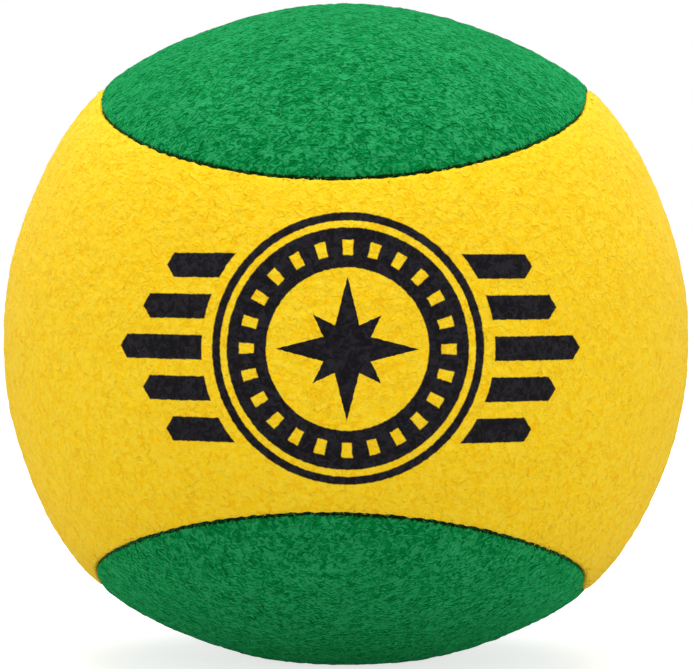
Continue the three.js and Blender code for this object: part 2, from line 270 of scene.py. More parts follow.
def yellow_spine(angles):
    """The yellow panel's middle line lies level round the front."""
    turn = SPINE_REACH * np.cos(angles)
    return np.stack([np.sin(turn), -np.cos(turn), np.zeros_like(turn)], axis=-1)


def green_spine(angles):
    """The green panel's middle line stands upright over the back."""
    turn = SPINE_REACH * np.sin(angles)
    return np.stack([np.zeros_like(turn), np.cos(turn), np.sin(turn)], axis=-1)


def smooth_noise(points, size, seed):
    """Soft blobs of about the given size, from -1 to 1, the same on every run."""
    generator = np.random.default_rng(seed)
    cells = 64
    lattice = generator.uniform(-1, 1, (cells, cells, cells))
    place = points / size
    corner = np.floor(place).astype(int)
    share = place - corner
    share = share * share * (3 - 2 * share)
    total = np.zeros(len(points))
    for x in (0, 1):
        for y in (0, 1):
            for z in (0, 1):
                step = np.array([x, y, z])
                weight = np.prod(np.where(step == 1, share, 1 - share), axis=1)
                cell = (corner + step) % cells
                total += weight * lattice[cell[:, 0], cell[:, 1], cell[:, 2]]
    return total


def pressed_flat(heights):
    """Heights above what the bag rests on, with those below it brought softly up to it."""
    return (heights + np.sqrt(heights * heights + BASE_ROUNDING ** 2)) / 2


def new_piece(name, points, faces):
    mesh = bpy.data.meshes.new(name)
    mesh.from_pydata(points, [], faces)
    mesh.validate()
    piece = bpy.data.objects.new(name, mesh)
    bpy.context.scene.collection.objects.link(piece)
    mesh.shade_smooth()
    return piece


def add_attribute(piece, name, values):
    layer = piece.data.attributes.new(name, "FLOAT", "POINT")
    layer.data.foreach_set("value", np.asarray(values, dtype=np.float32))


# The panels.

def teeth():
    """How far the yellow fibres reach over the seam line, column by column."""
    line = COLUMN_FRAMES.points(0.0, 0.0)
    seam_length = np.linalg.norm(np.diff(line, axis=0, append=line[:1]), axis=1).sum()
    generator = random.Random(TEETH_SEED)
    reach = np.zeros(COLUMNS)
    place = 0.0
    distances = np.arange(COLUMNS) * seam_length / COLUMNS
    while place < seam_length:
        width = TOOTH_PITCH * generator.uniform(*TOOTH_WIDTH_SHARES)
        height = TOOTH_REACH * generator.uniform(*TOOTH_REACH_SHARES)
        away = np.abs((distances - place + seam_length / 2) % seam_length - seam_length / 2)
        reach = np.maximum(reach, height * np.clip(1 - away / width, 0, 1))
        place += TOOTH_PITCH * generator.uniform(*TOOTH_SPACING_SHARES)
    return reach


def panel_mesh(name, side, spine, edge, first_tip, tooth_reach):
    """One figure-eight panel as a closed skin: field, rolled edge, turned-in allowance and inside."""
    spine_directions = spine(COLUMN_FRAMES.angles)

    def field(share, depth, drift):
        edge_directions = unit(COLUMN_FRAMES.points(side * FIELD_START + drift, 0.0))
        cosine = np.sum(edge_directions * spine_directions, axis=1)
        turn = np.arccos(np.clip(cosine, -1, 1))[:, None]
        blend = np.sin((1 - share) * turn) * edge_directions + np.sin(share * turn) * spine_directions
        return surface_points(unit(blend), depth)

    rings = []
    pile = []
    for ring in range(FIELD_RINGS, -1, -1):
        rings.append(field(ring / FIELD_RINGS, 0.0, COLUMN_DRIFT))
        pile.append(1.0)
    for across, depth in edge:
        fade = 1 - across / edge[0][0]
        shift = side * across - tooth_reach * fade + COLUMN_DRIFT
        rings.append(surface_points(unit(COLUMN_FRAMES.points(shift, 0.0)), depth))
        outward = EDGE_PILE_SHARE + (1 - EDGE_PILE_SHARE) * across / edge[0][0]
        pile.append(max(0.0, 1 - depth / edge[-1][1]) * outward)
    rings.append(COLUMN_FRAMES.points(side * PLY_GAP / 2, ALLOWANCE_DEPTH))
    rings.append(COLUMN_FRAMES.points(side * INNER_FACE, ALLOWANCE_DEPTH))
    rings.append(COLUMN_FRAMES.points(side * INNER_FACE, CLOTH_THICKNESS))
    for ring in range(INNER_RINGS + 1):
        rings.append(field(ring / INNER_RINGS, CLOTH_THICKNESS, 0.0))
    pile += [0.0] * (len(rings) - len(pile))

    def vertex(ring, column):
        column %= COLUMNS
        if ring in (0, len(rings) - 1):
            from_tip = (column - first_tip) % COLUMNS
            column = (min(from_tip, COLUMNS - from_tip) + first_tip) % COLUMNS
        return ring * COLUMNS + column

    faces = []
    for ring in range(len(rings) - 1):
        for column in range(COLUMNS):
            corners = [
                vertex(ring, column),
                vertex(ring + 1, column),
                vertex(ring + 1, column + 1),
                vertex(ring, column + 1),
            ]
            if side > 0:
                corners.reverse()
            unique = list(dict.fromkeys(corners))
            if len(unique) > 2:
                faces.append(unique)
    points = np.concatenate(rings)
    piece = new_piece(name, points, faces)
    add_attribute(piece, "pile_share", np.repeat(pile, COLUMNS))
    remove_loose(piece)
    return piece


def remove_loose(piece):
    """Takes away the spine's spare points, which its other half shares."""
    work = bmesh.new()
    work.from_mesh(piece.data)
    loose = [vertex for vertex in work.verts if not vertex.link_faces]
    bmesh.ops.delete(work, geom=loose, context="VERTS")
    work.to_mesh(piece.data)
    work.free()


def vertex_values(piece, field):
    count = len(piece.data.vertices)
    values = np.empty(count * 3)
    piece.data.vertices.foreach_get(field, values)
    return values.reshape(count, 3)


# The green fleece paints the shade of the seam's groove by this nearness.
def seam_nearness(directions):
    """One on the seam line, falling to nothing within a few tenths of a millimetre."""
    return np.exp(-((line_distance(directions, VISIBLE_SEAM) / SEAM_SHADE_WIDTH) ** 2))


def raise_pile(piece, seed):
    """Gives the outer face its tufts and lumps, presses the underside flat, and moves it into place."""
    share = np.empty(len(piece.data.vertices), dtype=np.float32)
    piece.data.attributes["pile_share"].data.foreach_get("value", share)
    points = vertex_values(piece, "co")
    normals = vertex_values(piece, "normal")
    warp_size = TUFT_SIZE * WARP_SIZE_SHARE
    warp = np.stack([smooth_noise(points, warp_size, seed + axis) for axis in (1, 2, 3)], axis=1)
    tuft = smooth_noise(points + warp * TUFT_SIZE * WARP_REACH_SHARE, TUFT_SIZE, seed)
    tuft = 1 - 2 * np.abs(tuft)
    lump = smooth_noise(points, LUMP_SIZE, seed + 4)
    height = share * (TUFT_HEIGHT * tuft + LUMP_HEIGHT * lump - PILE_DEPTH)
    points = points + normals * height[:, None] + MIDDLE
    points[:, 2] = pressed_flat(points[:, 2])
    piece.data.vertices.foreach_set("co", (points * MM).ravel())
    directions = unit(points - MIDDLE)
    add_attribute(piece, "tuft", (tuft * share + 1) / 2)
    # The nearness to the seam, by which the green fleece paints the groove's shade.
    add_attribute(piece, "near_seam", seam_nearness(directions))
    piece.data.update()


def dress_panel(piece, node, material, seed):
    raise_pile(piece, seed)
    piece.data.materials.append(material)
    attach(piece, "root")
    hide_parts(node)


# The nap.

def nap_roots(panel, count, generator):
    """Places spread evenly over a panel's napped face, with the directions out of the cloth there."""
    mesh = panel.data
    mesh.calc_loop_triangles()
    triangles = np.empty(len(mesh.loop_triangles) * 3, dtype=int)
    mesh.loop_triangles.foreach_get("vertices", triangles)
    triangles = triangles.reshape(-1, 3)
    points = vertex_values(panel, "co") / MM
    normals = vertex_values(panel, "normal")
    share = np.empty(len(points), dtype=np.float32)
    mesh.attributes["pile_share"].data.foreach_get("value", share)
    corners = points[triangles]
    area = np.linalg.norm(np.cross(corners[:, 1] - corners[:, 0], corners[:, 2] - corners[:, 0]), axis=1)
    area = np.where(share[triangles].min(axis=1) > LEAST_PILE_SHARE, area, 0)
    chosen = generator.choice(len(triangles), count, p=area / area.sum())
    along = np.sqrt(generator.uniform(size=(count, 1)))
    across = generator.uniform(size=(count, 1))
    weights = np.stack([1 - along, along * (1 - across), along * across], axis=1)
    roots = (corners[chosen] * weights).sum(axis=1)
    out = unit((normals[triangles[chosen]] * weights).sum(axis=1))
    return roots, out


def map_fibres(mesh, faces, rungs, spokes):
    """Lays each fibre out flat in a small square of its own: its length to the right, its sides upwards."""
    rows = math.ceil(math.sqrt(NAP_FIBRES))
    fibre = np.arange(NAP_FIBRES)
    corner = np.stack([fibre % rows, fibre // rows], axis=1)[:, None, :]
    order = np.array(faces).ravel()
    spot = np.stack([np.array(rungs)[order], np.array(spokes).ravel()], axis=1)[None]
    spot = MAP_MARGIN_SHARE + (1 - 2 * MAP_MARGIN_SHARE) * spot
    layer = mesh.uv_layers.new(name=FIBRE_MAP)
    layer.uv.foreach_set("vector", ((corner + spot) / rows).astype(np.float32).ravel())


def nap_piece(name, panel, seed):
    """Thousands of fibres: each a thin three-sided spindle, curled, with both ends drawn to a point."""
    generator = np.random.default_rng(seed)
    roots, out = nap_roots(panel, NAP_FIBRES, generator)
    ahead = unit(np.cross(out, generator.normal(size=out.shape)))
    aside = np.cross(out, ahead)
    length = generator.uniform(*FIBRE_LENGTHS, size=(NAP_FIBRES, 1))
    bend = generator.uniform(-FIBRE_BEND, FIBRE_BEND, size=(NAP_FIBRES, 1))
    loft = generator.uniform(*FIBRE_LOFT_SHARES, size=(NAP_FIBRES, 1))
    line = [roots]
    headings = []
    for step in (-1, 0, 1):
        heading = np.cos(bend * step) * ahead + np.sin(bend * step) * aside
        headings.append(heading)
        line.append(line[-1] + heading * length / 3)
    line = [point + out * lift * loft for point, lift in zip(line, FIBRE_LIFTS)]
    corners = [line[0]]
    for point, heading in ((line[1], headings[1]), (line[2], headings[2])):
        across = np.cross(heading, out)
        for turn in (0, 1, 2):
            angle = FULL_TURN * turn / 3
            corners.append(point + FIBRE_RADIUS * (math.cos(angle) * out + math.sin(angle) * across))
    corners.append(line[3])
    points = np.stack(corners, axis=1)
    root, low_ring, high_ring, tip = 0, 1, 4, 7
    faces = []
    spokes = []
    for turn in (0, 1, 2):
        after = (turn + 1) % 3
        near, middle, far = turn / 3, (turn + 0.5) / 3, (turn + 1) / 3
        faces.append((root, low_ring + after, low_ring + turn))
        spokes.append((middle, far, near))
        faces.append((low_ring + turn, low_ring + after, high_ring + after))
        spokes.append((near, far, far))
        faces.append((low_ring + turn, high_ring + after, high_ring + turn))
        spokes.append((near, far, near))
        faces.append((tip, high_ring + turn, high_ring + after))
        spokes.append((middle, near, far))
    starts = np.arange(NAP_FIBRES)[:, None, None] * points.shape[1]
    all_faces = (np.array(faces)[None] + starts).reshape(-1, 3)
    points[:, :, 2] = pressed_flat(points[:, :, 2])
    piece = new_piece(name, points.reshape(-1, 3) * MM, all_faces)
    rungs = [0] + [1 / 3] * 3 + [2 / 3] * 3 + [1]
    map_fibres(piece.data, faces, rungs, spokes)
    tones = generator.uniform(*FIBRE_TONES, size=NAP_FIBRES)
    add_attribute(piece, "tuft", np.repeat(tones, points.shape[1]))
    # Fibres rooted by the seam get the same nearness, so that the painted seam shade darkens them too.
    near_seam = seam_nearness(unit(roots - MIDDLE))
    add_attribute(piece, "near_seam", np.repeat(near_seam, points.shape[1]))
    piece.data.materials.append(panel.data.materials[0])
    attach(piece, "root")


# The fill.

# How the settled pellets lie, and how a pellet is modelled: its rim, and the two rises of its ends.
PELLET_PITCH = 3.8
LAYER_PITCH = 2.8
PELLET_JITTER = 0.07
RIM_HEIGHT = 0.9
DOME_INSET = 0.5
DOME_RISE = 0.5
CROWN_INSET = 0.6
CROWN_RISE = 0.25
SETTLED_SIDES = 10
LOOSE_SIDES = 14
END_TOLERANCE = 0.01


def select_ends(piece):
    """Selects the two end faces of a piece in edit mode, and nothing else."""
    bpy.context.tool_settings.mesh_select_mode = (False, False, True)
    bpy.ops.mesh.select_all(action="DESELECT")
    work = bmesh.from_edit_mesh(piece.data)
    highest = max(face.calc_center_median().z for face in work.faces)
    for face in work.faces:
        if abs(face.calc_center_median().z) > highest - END_TOLERANCE * MM:
            face.select_set(True)
    bmesh.update_edit_mesh(piece.data)


def model_pellet(sides, rounded_off):
    """A plump lens: a short cylinder, its ends drawn in and raised twice."""
    bpy.ops.object.select_all(action="DESELECT")
    radius = PELLET_DIAMETER / 2 * MM
    bpy.ops.mesh.primitive_cylinder_add(vertices=sides, radius=radius, depth=RIM_HEIGHT * MM)
    model = bpy.context.object
    bpy.ops.object.mode_set(mode="EDIT")
    for inset, rise in ((DOME_INSET, DOME_RISE), (CROWN_INSET, CROWN_RISE)):
        select_ends(model)
        bpy.ops.mesh.inset(thickness=inset * MM, depth=rise * MM, use_individual=True)
    bpy.ops.object.mode_set(mode="OBJECT")
    if rounded_off:
        model.modifiers.new("rounding", "SUBSURF").levels = 1
        bpy.ops.object.modifier_apply(modifier="rounding")
    model.data.shade_smooth()
    return model


def has_room(places):
    """Whether a level pellet at each place clears the cover and the turned-in edges."""
    radius = np.linalg.norm(places, axis=1)
    directions = unit(places)
    level_reach = PELLET_DIAMETER / 2 * np.hypot(directions[:, 0], directions[:, 1])
    reach = np.hypot(level_reach, PELLET_THICKNESS / 2 * directions[:, 2])
    cover = outer_radius(directions) - CLOTH_THICKNESS - FILL_CLEARANCE
    ends = surface_points(SAMPLE_DIRECTIONS, ALLOWANCE_DEPTH)
    nearest = np.array([np.linalg.norm(ends - place, axis=1).min() for place in places])
    return (radius + reach < cover) & (nearest > TRENCH_HALF + PELLET_DIAMETER / 2)


def settled_places():
    """A close-packed heap: level layers, each lying over the hollows of the one below it."""
    generator = np.random.default_rng(HEAP_SEED)
    row_pitch = PELLET_PITCH * math.sin(math.pi / 3)
    top = BAG_HEIGHT / 2 - CLOTH_THICKNESS - FILL_HEADROOM - PELLET_THICKNESS / 2
    layers = math.ceil((top + BAG_HEIGHT / 2) / LAYER_PITCH)
    rows = math.ceil(BAG_WIDTH / 2 / row_pitch)
    places = []
    for layer in range(layers):
        hollow = (layer % 3) / 3
        for row in range(-rows, rows + 1):
            for column in range(-2 * rows, 2 * rows + 1):
                along = (column + (row + hollow) / 2) * PELLET_PITCH
                places.append((along, (row + hollow) * row_pitch, top - layer * LAYER_PITCH))
    places = np.array(places)
    places = places[np.linalg.norm(places, axis=1) < BAG_WIDTH / 2]
    places = places[has_room(places)]
    places[:, :2] += generator.uniform(-PELLET_JITTER, PELLET_JITTER, (len(places), 2))
    return places


def pellet_matrix(place, tilt, index):
    """The pose of a pellet: tilted a little, each in another direction."""
    turn = index * PELLET_TURN
    pose = Euler((tilt * math.cos(turn), tilt * math.sin(turn), turn), "ZYX").to_matrix().to_4x4()
    pose.translation = Vector(place)
    return pose


def mesh_arrays(model):
    points = vertex_values(model, "co")
    faces = [tuple(face.vertices) for face in model.data.polygons]
    return points, faces


def settled_pellets(material):
    """Every settled pellet in one piece, which stands for the bed."""
    model = model_pellet(SETTLED_SIDES, False)
    points, faces = mesh_arrays(model)
    bpy.data.objects.remove(model)
    all_points = []
    all_faces = []
    for index, place in enumerate(settled_places()):
        pose = np.array(pellet_matrix((place + MIDDLE) * MM, PELLET_TILT, index))
        start = index * len(points)
        all_points.append(points @ pose[:3, :3].T + pose[:3, 3])
        all_faces += [tuple(start + corner for corner in face) for face in faces]
    bed = new_piece("settled_pellets", np.concatenate(all_points), all_faces)
    bed.data.materials.append(material)
    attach(bed, "root")
    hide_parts("pellet_bed")


def loose_pellets(material):
    """A smooth pellet in place of each loose one."""
    model = model_pellet(LOOSE_SIDES, True)
    nodes = [name for name in sorted(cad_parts) if name.startswith("pellet_")]
    nodes.remove("pellet_bed")
    for index, node in enumerate(nodes):
        low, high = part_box(node)
        pose = pellet_matrix((Vector(low) + Vector(high)) / 2, PELLET_TILT, index)
        mesh = model.data.copy()
        mesh.transform(pose)
        pellet = bpy.data.objects.new(f"{node}_lens", mesh)
        bpy.context.scene.collection.objects.link(pellet)
        mesh.materials.append(material)
        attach(pellet, "root")
        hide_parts(node)
    bpy.data.objects.remove(model)


# The threads.

# How the threads hook round each other, and the plies that they are twisted from.
HOOK_REACH = (THREAD_DIAMETER + HOOK_GAP) / 2
LOOP_REACH = THREAD_DIAMETER + HOOK_GAP
CORNER_CUT_SHARE = 0.25
THREAD_STEP = 0.12
TWIST_PITCH = 1.2
PLY_COUNT = 3
PLY_GROOVE_SHARE = 0.72
PLY_RADII = (THREAD_DIAMETER / 2, THREAD_DIAMETER / 2 * PLY_GROOVE_SHARE) * PLY_COUNT
KNOT_STEPS = 24


def holes_between(start, end, pitch):
    """The frames of a row of needle holes between two distances along the stitches."""
    closed = np.append(SAMPLE_ANGLES, FULL_TURN)
    line = surface_points(seam_direction(closed), STITCH_DEPTH)
    lengths = np.concatenate([[0], np.cumsum(np.linalg.norm(np.diff(line, axis=0), axis=1))])
    if end is None:
        end = lengths[-1] - start
    spaces = max(1, round((end - start) / pitch))
    distances = np.linspace(start, end, spaces + 1) % lengths[-1]
    return SeamFrames(np.interp(distances, lengths, closed))


def rounded(route, times=3):
    """The route with its corners cut, again and again, so that it bends in curves."""
    for _ in range(times):
        before, after = route[:-1], route[1:]
        leaving = before * (1 - CORNER_CUT_SHARE) + after * CORNER_CUT_SHARE
        arriving = before * CORNER_CUT_SHARE + after * (1 - CORNER_CUT_SHARE)
        cut = np.stack([leaving, arriving], axis=1).reshape(-1, 3)
        route = np.concatenate([route[:1], cut, route[-1:]])
    return route


def evenly_stepped(route, step):
    lengths = np.concatenate([[0], np.cumsum(np.linalg.norm(np.diff(route, axis=0), axis=1))])
    distances = np.linspace(0, lengths[-1], max(2, round(lengths[-1] / step)))
    return np.stack([np.interp(distances, lengths, route[:, axis]) for axis in range(3)], axis=1)


def thread_piece(name, node, route, material):
    """A twisted thread: a tube whose three plies wind round it as it goes."""
    line = evenly_stepped(rounded(route), THREAD_STEP)
    ahead = unit(np.gradient(line, axis=0))
    upright = unit(line)
    twist = 0.0
    rings = []
    side = unit(np.cross(ahead[0], upright[0])[None])[0]
    radii = np.array(PLY_RADII)
    for point, heading in zip(line, ahead):
        side = side - heading * side.dot(heading)
        side = side / np.linalg.norm(side)
        other = np.cross(heading, side)
        angles = twist + FULL_TURN * np.arange(len(PLY_RADII)) / len(PLY_RADII)
        sideways = np.outer(radii * np.cos(angles), side)
        upwards = np.outer(radii * np.sin(angles), other)
        rings.append(point + sideways + upwards)
        twist += FULL_TURN * THREAD_STEP / TWIST_PITCH
    sides = len(PLY_RADII)
    faces = []
    for run in range(len(line) - 1):
        for spoke in range(sides):
            here = run * sides + spoke
            beside = run * sides + (spoke + 1) % sides
            faces.append((here, beside, beside + sides, here + sides))
    faces.append(tuple(reversed(range(sides))))
    faces.append(tuple(range((len(line) - 1) * sides, len(line) * sides)))
    thread = new_piece(name, (np.concatenate(rings) + MIDDLE) * MM, faces)
    thread.data.materials.append(material)
    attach(thread, "root")
    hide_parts(node)
    return thread


def route_through(holes, places, start, end):
    """Joins up the places that a thread passes at each hole, between its two tails."""
    stops = [holes.points(across, depth, along) for along, across, depth in places]
    route = np.stack(stops, axis=1).reshape(-1, 3)
    first = holes.points(start[1], start[2], start[0])[:1]
    last = holes.points(end[1], end[2], end[0])[-1:]
    return np.concatenate([first, route, last])


def needle_thread(material):
    tail = LOOP_REACH + THREAD_TAIL
    route = route_through(
        holes_between(CLOSING_GAP / 2, None, STITCH_PITCH),
        [
            (-LOOP_REACH, THREAD_FACE, STITCH_DEPTH),
            (-LOOP_REACH, -HOOK_REACH, STITCH_DEPTH),
            (LOOP_REACH, -HOOK_REACH, STITCH_DEPTH),
            (LOOP_REACH, THREAD_FACE, STITCH_DEPTH),
        ],
        (-tail, THREAD_FACE, STITCH_DEPTH),
        (tail, THREAD_FACE, STITCH_DEPTH),
    )
    thread_piece("needle_thread_twisted", "needle_thread", route, material)


def bobbin_thread(material):
    route = route_through(
        holes_between(CLOSING_GAP / 2, None, STITCH_PITCH),
        [
            (0, -THREAD_FACE, STITCH_DEPTH - LOOP_REACH),
            (0, HOOK_REACH, STITCH_DEPTH - LOOP_REACH),
            (0, HOOK_REACH, STITCH_DEPTH + LOOP_REACH),
            (0, -THREAD_FACE, STITCH_DEPTH + LOOP_REACH),
        ],
        (-THREAD_TAIL, -THREAD_FACE, STITCH_DEPTH - LOOP_REACH),
        (THREAD_TAIL, -THREAD_FACE, STITCH_DEPTH + LOOP_REACH),
    )
    thread_piece("bobbin_thread_twisted", "bobbin_thread", route, material)


def closing_thread(material):
    """The rungs of the ladder stitch, and a tight overhand knot at their end."""
    holes = holes_between(LADDER_PITCH - CLOSING_GAP / 2, CLOSING_GAP / 2 - LADDER_PITCH, LADDER_PITCH)
    count = len(holes.angles)
    flip = np.where(np.arange(count) % 2 == 0, 1.0, -1.0)
    near_ends = holes.points(flip * THREAD_FACE, LADDER_DEPTH)
    far_ends = holes.points(-flip * THREAD_FACE, LADDER_DEPTH)
    rungs = np.stack([near_ends, far_ends], axis=1).reshape(-1, 3)
    first = holes.points(THREAD_FACE, LADDER_DEPTH, -THREAD_TAIL)[:1]
    last_side = KNOT_FACE if count % 2 == 0 else -KNOT_FACE
    centre = holes.points(last_side, LADDER_DEPTH, THREAD_TAIL)[-1]
    turns = np.linspace(0, FULL_TURN, KNOT_STEPS)
    waist = (KNOT_DIAMETER - THREAD_DIAMETER) / 2 * (2 + np.cos(3 * turns)) / 3
    lift = (KNOT_DIAMETER - THREAD_DIAMETER) / 4 * np.sin(3 * turns)
    knot = (
        centre
        + np.outer(waist * np.cos(2 * turns), holes.along[-1])
        + np.outer(waist * np.sin(2 * turns), holes.across[-1])
        + np.outer(lift, holes.out[-1])
    )
    thread_piece("closing_thread_twisted", "closing_thread", np.concatenate([first, rungs, knot]), material)


# Node helpers.

def plug(tree, value, socket):
    """Links a socket to a value, which is another socket or a plain number or colour."""
    if isinstance(value, bpy.types.NodeSocket):
        tree.links.new(value, socket)
    else:
        socket.default_value = value


def maths(tree, operation, first, second=0.0, third=0.0, clamp=False):
    node = tree.nodes.new("ShaderNodeMath")
    node.operation = operation
    node.use_clamp = clamp
    for value, socket in zip((first, second, third), node.inputs):
        plug(tree, value, socket)
    return node.outputs[0]


def remap(tree, value, limits, results=(0.0, 1.0)):
    """A value between two limits, turned smoothly into one between two results."""
    node = tree.nodes.new("ShaderNodeMapRange")
    node.interpolation_type = "SMOOTHSTEP"
    plug(tree, value, node.inputs["Value"])
    for name, number in zip(("From Min", "From Max", "To Min", "To Max"), (*limits, *results)):
        plug(tree, number, node.inputs[name])
    return node.outputs["Result"]


def mix_colour(tree, share, first, second):
    node = tree.nodes.new("ShaderNodeMix")
    node.data_type = "RGBA"
    plug(tree, share, node.inputs["Factor"])
    plug(tree, first, node.inputs[6])
    plug(tree, second, node.inputs[7])
    return node.outputs[2]


def noise(tree, vector, size, detail=2.0, distortion=0.0):
    """Cloudy noise with blobs of about the given size in millimetres, from 0 to 1."""
    node = tree.nodes.new("ShaderNodeTexNoise")
    plug(tree, vector, node.inputs["Vector"])
    plug(tree, 1 / (size * MM), node.inputs["Scale"])
    plug(tree, detail, node.inputs["Detail"])
    plug(tree, distortion, node.inputs["Distortion"])
    return node.outputs["Fac"]


def new_group(name, inputs, outputs):
    """A shader node group with named inputs and outputs, given as (name, type, default)."""
    tree = bpy.data.node_groups.new(name, "ShaderNodeTree")
    for label, kind, default in inputs:
        socket = tree.interface.new_socket(label, in_out="INPUT", socket_type="NodeSocket" + kind)
        if default is not None:
            socket.default_value = default
    for label, kind in outputs:
        tree.interface.new_socket(label, in_out="OUTPUT", socket_type="NodeSocket" + kind)
    entry = tree.nodes.new("NodeGroupInput")
    exit_node = tree.nodes.new("NodeGroupOutput")
    return tree, entry.outputs, exit_node.inputs


def place_group(tree, group, **values):
    node = tree.nodes.new("ShaderNodeGroup")
    node.node_tree = group
    for label, value in values.items():
        plug(tree, value, node.inputs[label.replace("_", " ")])
    return node.outputs


def new_material(name):
    material = bpy.data.materials.new(name)
    material.use_nodes = True
    tree = material.node_tree
    shader = tree.nodes["Principled BSDF"]
    return material, tree, shader


def object_coordinates(tree):
    return tree.nodes.new("ShaderNodeTexCoord").outputs["Object"]


def attribute(tree, name):
    node = tree.nodes.new("ShaderNodeAttribute")
    node.attribute_name = name
    return node.outputs["Fac"]


def bump(tree, height, distance):
    """The normal of a surface whose height, from 0 to 1, stands for a distance in millimetres."""
    node = tree.nodes.new("ShaderNodeBump")
    plug(tree, height, node.inputs["Height"])
    plug(tree, distance * MM, node.inputs["Distance"])
    return node.outputs["Normal"]


# The fleece.

# The layers of the pile and how much each lifts it, and the lifts where the painted shade of the pits
# and the painted highlight of the lit fibres begin and end.
CURL_SIZE = 0.48
CURL_WEIGHT = 0.90
FIBRE_SIZE = 0.13
FIBRE_WEIGHT = 0.10
CLUMP_SIZE = 1.5
CLUMP_WEIGHT = 0.15
TUFT_WEIGHT = 0.15
PIT_SHADE_LIFTS = (0.48, 0.35)
LIT_LIFTS = (0.48, 0.64)

# Broad patches where the colour is worn, and how much of the worn tone shows there.
PATCH_LEVELS = (0.35, 0.7)
PATCH_TONES = (0.0, 0.25)

FLEECE_ROUGHNESS = 0.95
FLEECE_SHEEN_ROUGHNESS = 0.35


def fleece_group():
    """Matted pile: curled tufts over dark pits, with finer fibres over them, in three tones. The dark tone
    of the pits is painted shade, and the light tone of the raised fibres is painted highlight.
    """
    tree, given, result = new_group(
        "matted fleece pile",
        [
            ("Vector", "Vector", None),
            ("Tuft", "Float", 0.5),
            ("Body", "Color", (0.5, 0.5, 0.5, 1)),
            ("Fibre", "Color", (0.7, 0.7, 0.7, 1)),
            ("Pit", "Color", (0.2, 0.2, 0.2, 1)),
            ("Fibre Share", "Float", 0.6),
            ("Pit Share", "Float", 0.6),
        ],
        [("Color", "Color"), ("Height", "Float")],
    )
    vector = given["Vector"]
    curls = noise(tree, vector, CURL_SIZE, detail=1.0, distortion=1.2)
    fibres = noise(tree, vector, FIBRE_SIZE, detail=1.0, distortion=1.0)
    clumps = noise(tree, vector, CLUMP_SIZE, detail=1.0)
    lift = maths(tree, "MULTIPLY_ADD", fibres, FIBRE_WEIGHT, maths(tree, "MULTIPLY", curls, CURL_WEIGHT))
    for layer, weight in ((given["Tuft"], TUFT_WEIGHT), (clumps, CLUMP_WEIGHT)):
        lift = maths(tree, "MULTIPLY_ADD", maths(tree, "SUBTRACT", layer, 0.5), weight, lift)
    pits = maths(tree, "MULTIPLY", remap(tree, lift, PIT_SHADE_LIFTS), given["Pit Share"])
    toned = mix_colour(tree, pits, given["Body"], given["Pit"])
    lit = maths(tree, "MULTIPLY", remap(tree, lift, LIT_LIFTS), given["Fibre Share"])
    plug(tree, mix_colour(tree, lit, toned, given["Fibre"]), result["Color"])
    plug(tree, lift, result["Height"])
    return tree


# The badge printed on the yellow waist: rings, a compass rose and side bars, in black ink.
BADGE_SIDE = 1.25
BADGE_RISE = -0.2
BADGE_OUTER = (9.3, 9.9)
BADGE_BAND = (5.9, 8.8)
BADGE_TICKS = (6.8, 7.9)
TICK_COUNT = 24
TICK_LEVELS = (0.2, 0.5)
ROSE_TIPS = (5.2, 3.5)
ROSE_VALLEYS = (1.5, 1.3)
BAR_START = 10.7
BAR_HALF_HEIGHT = 0.9
BAR_PITCH = 3.0
BAR_ENDS = (17.0, 15.2, 13.4)
BAR_TAPER_SHARE = 0.6
INK_RAGGED = 0.07
INK_RAGGED_SIZES = (0.40, 0.34)
INK_SOFT = 0.05


def inside(tree, distance):
    """A mask that is 1 where a signed distance in millimetres is below zero."""
    return remap(tree, distance, (INK_SOFT, -INK_SOFT))


def ring_mask(tree, radius, limits):
    middle = sum(limits) / 2
    half = (limits[1] - limits[0]) / 2
    away = maths(tree, "ABSOLUTE", maths(tree, "SUBTRACT", radius, middle))
    return inside(tree, maths(tree, "SUBTRACT", away, half))


def star_mask(tree, radius, angle, tip, valley, turned):
    """A four-pointed star with straight sides from its tips to its valleys."""
    sector = math.pi / 4
    folded = maths(tree, "PINGPONG", maths(tree, "ADD", angle, turned), sector)
    sine = maths(tree, "MULTIPLY", maths(tree, "SINE", folded), tip - valley * math.cos(sector))
    cosine = maths(tree, "MULTIPLY", maths(tree, "COSINE", folded), valley * math.sin(sector))
    reach = maths(tree, "DIVIDE", tip * valley * math.sin(sector), maths(tree, "ADD", sine, cosine))
    return inside(tree, maths(tree, "SUBTRACT", radius, reach))


def badge_place(tree, vector, along, centre, ragged_size):
    """How far a point lies from the badge's centre one way, in millimetres, a little raggedly."""
    away = maths(tree, "DIVIDE", maths(tree, "SUBTRACT", along, centre * MM), MM)
    ragged = noise(tree, vector, ragged_size)
    return maths(tree, "MULTIPLY_ADD", maths(tree, "SUBTRACT", ragged, 0.5), 2 * INK_RAGGED, away)


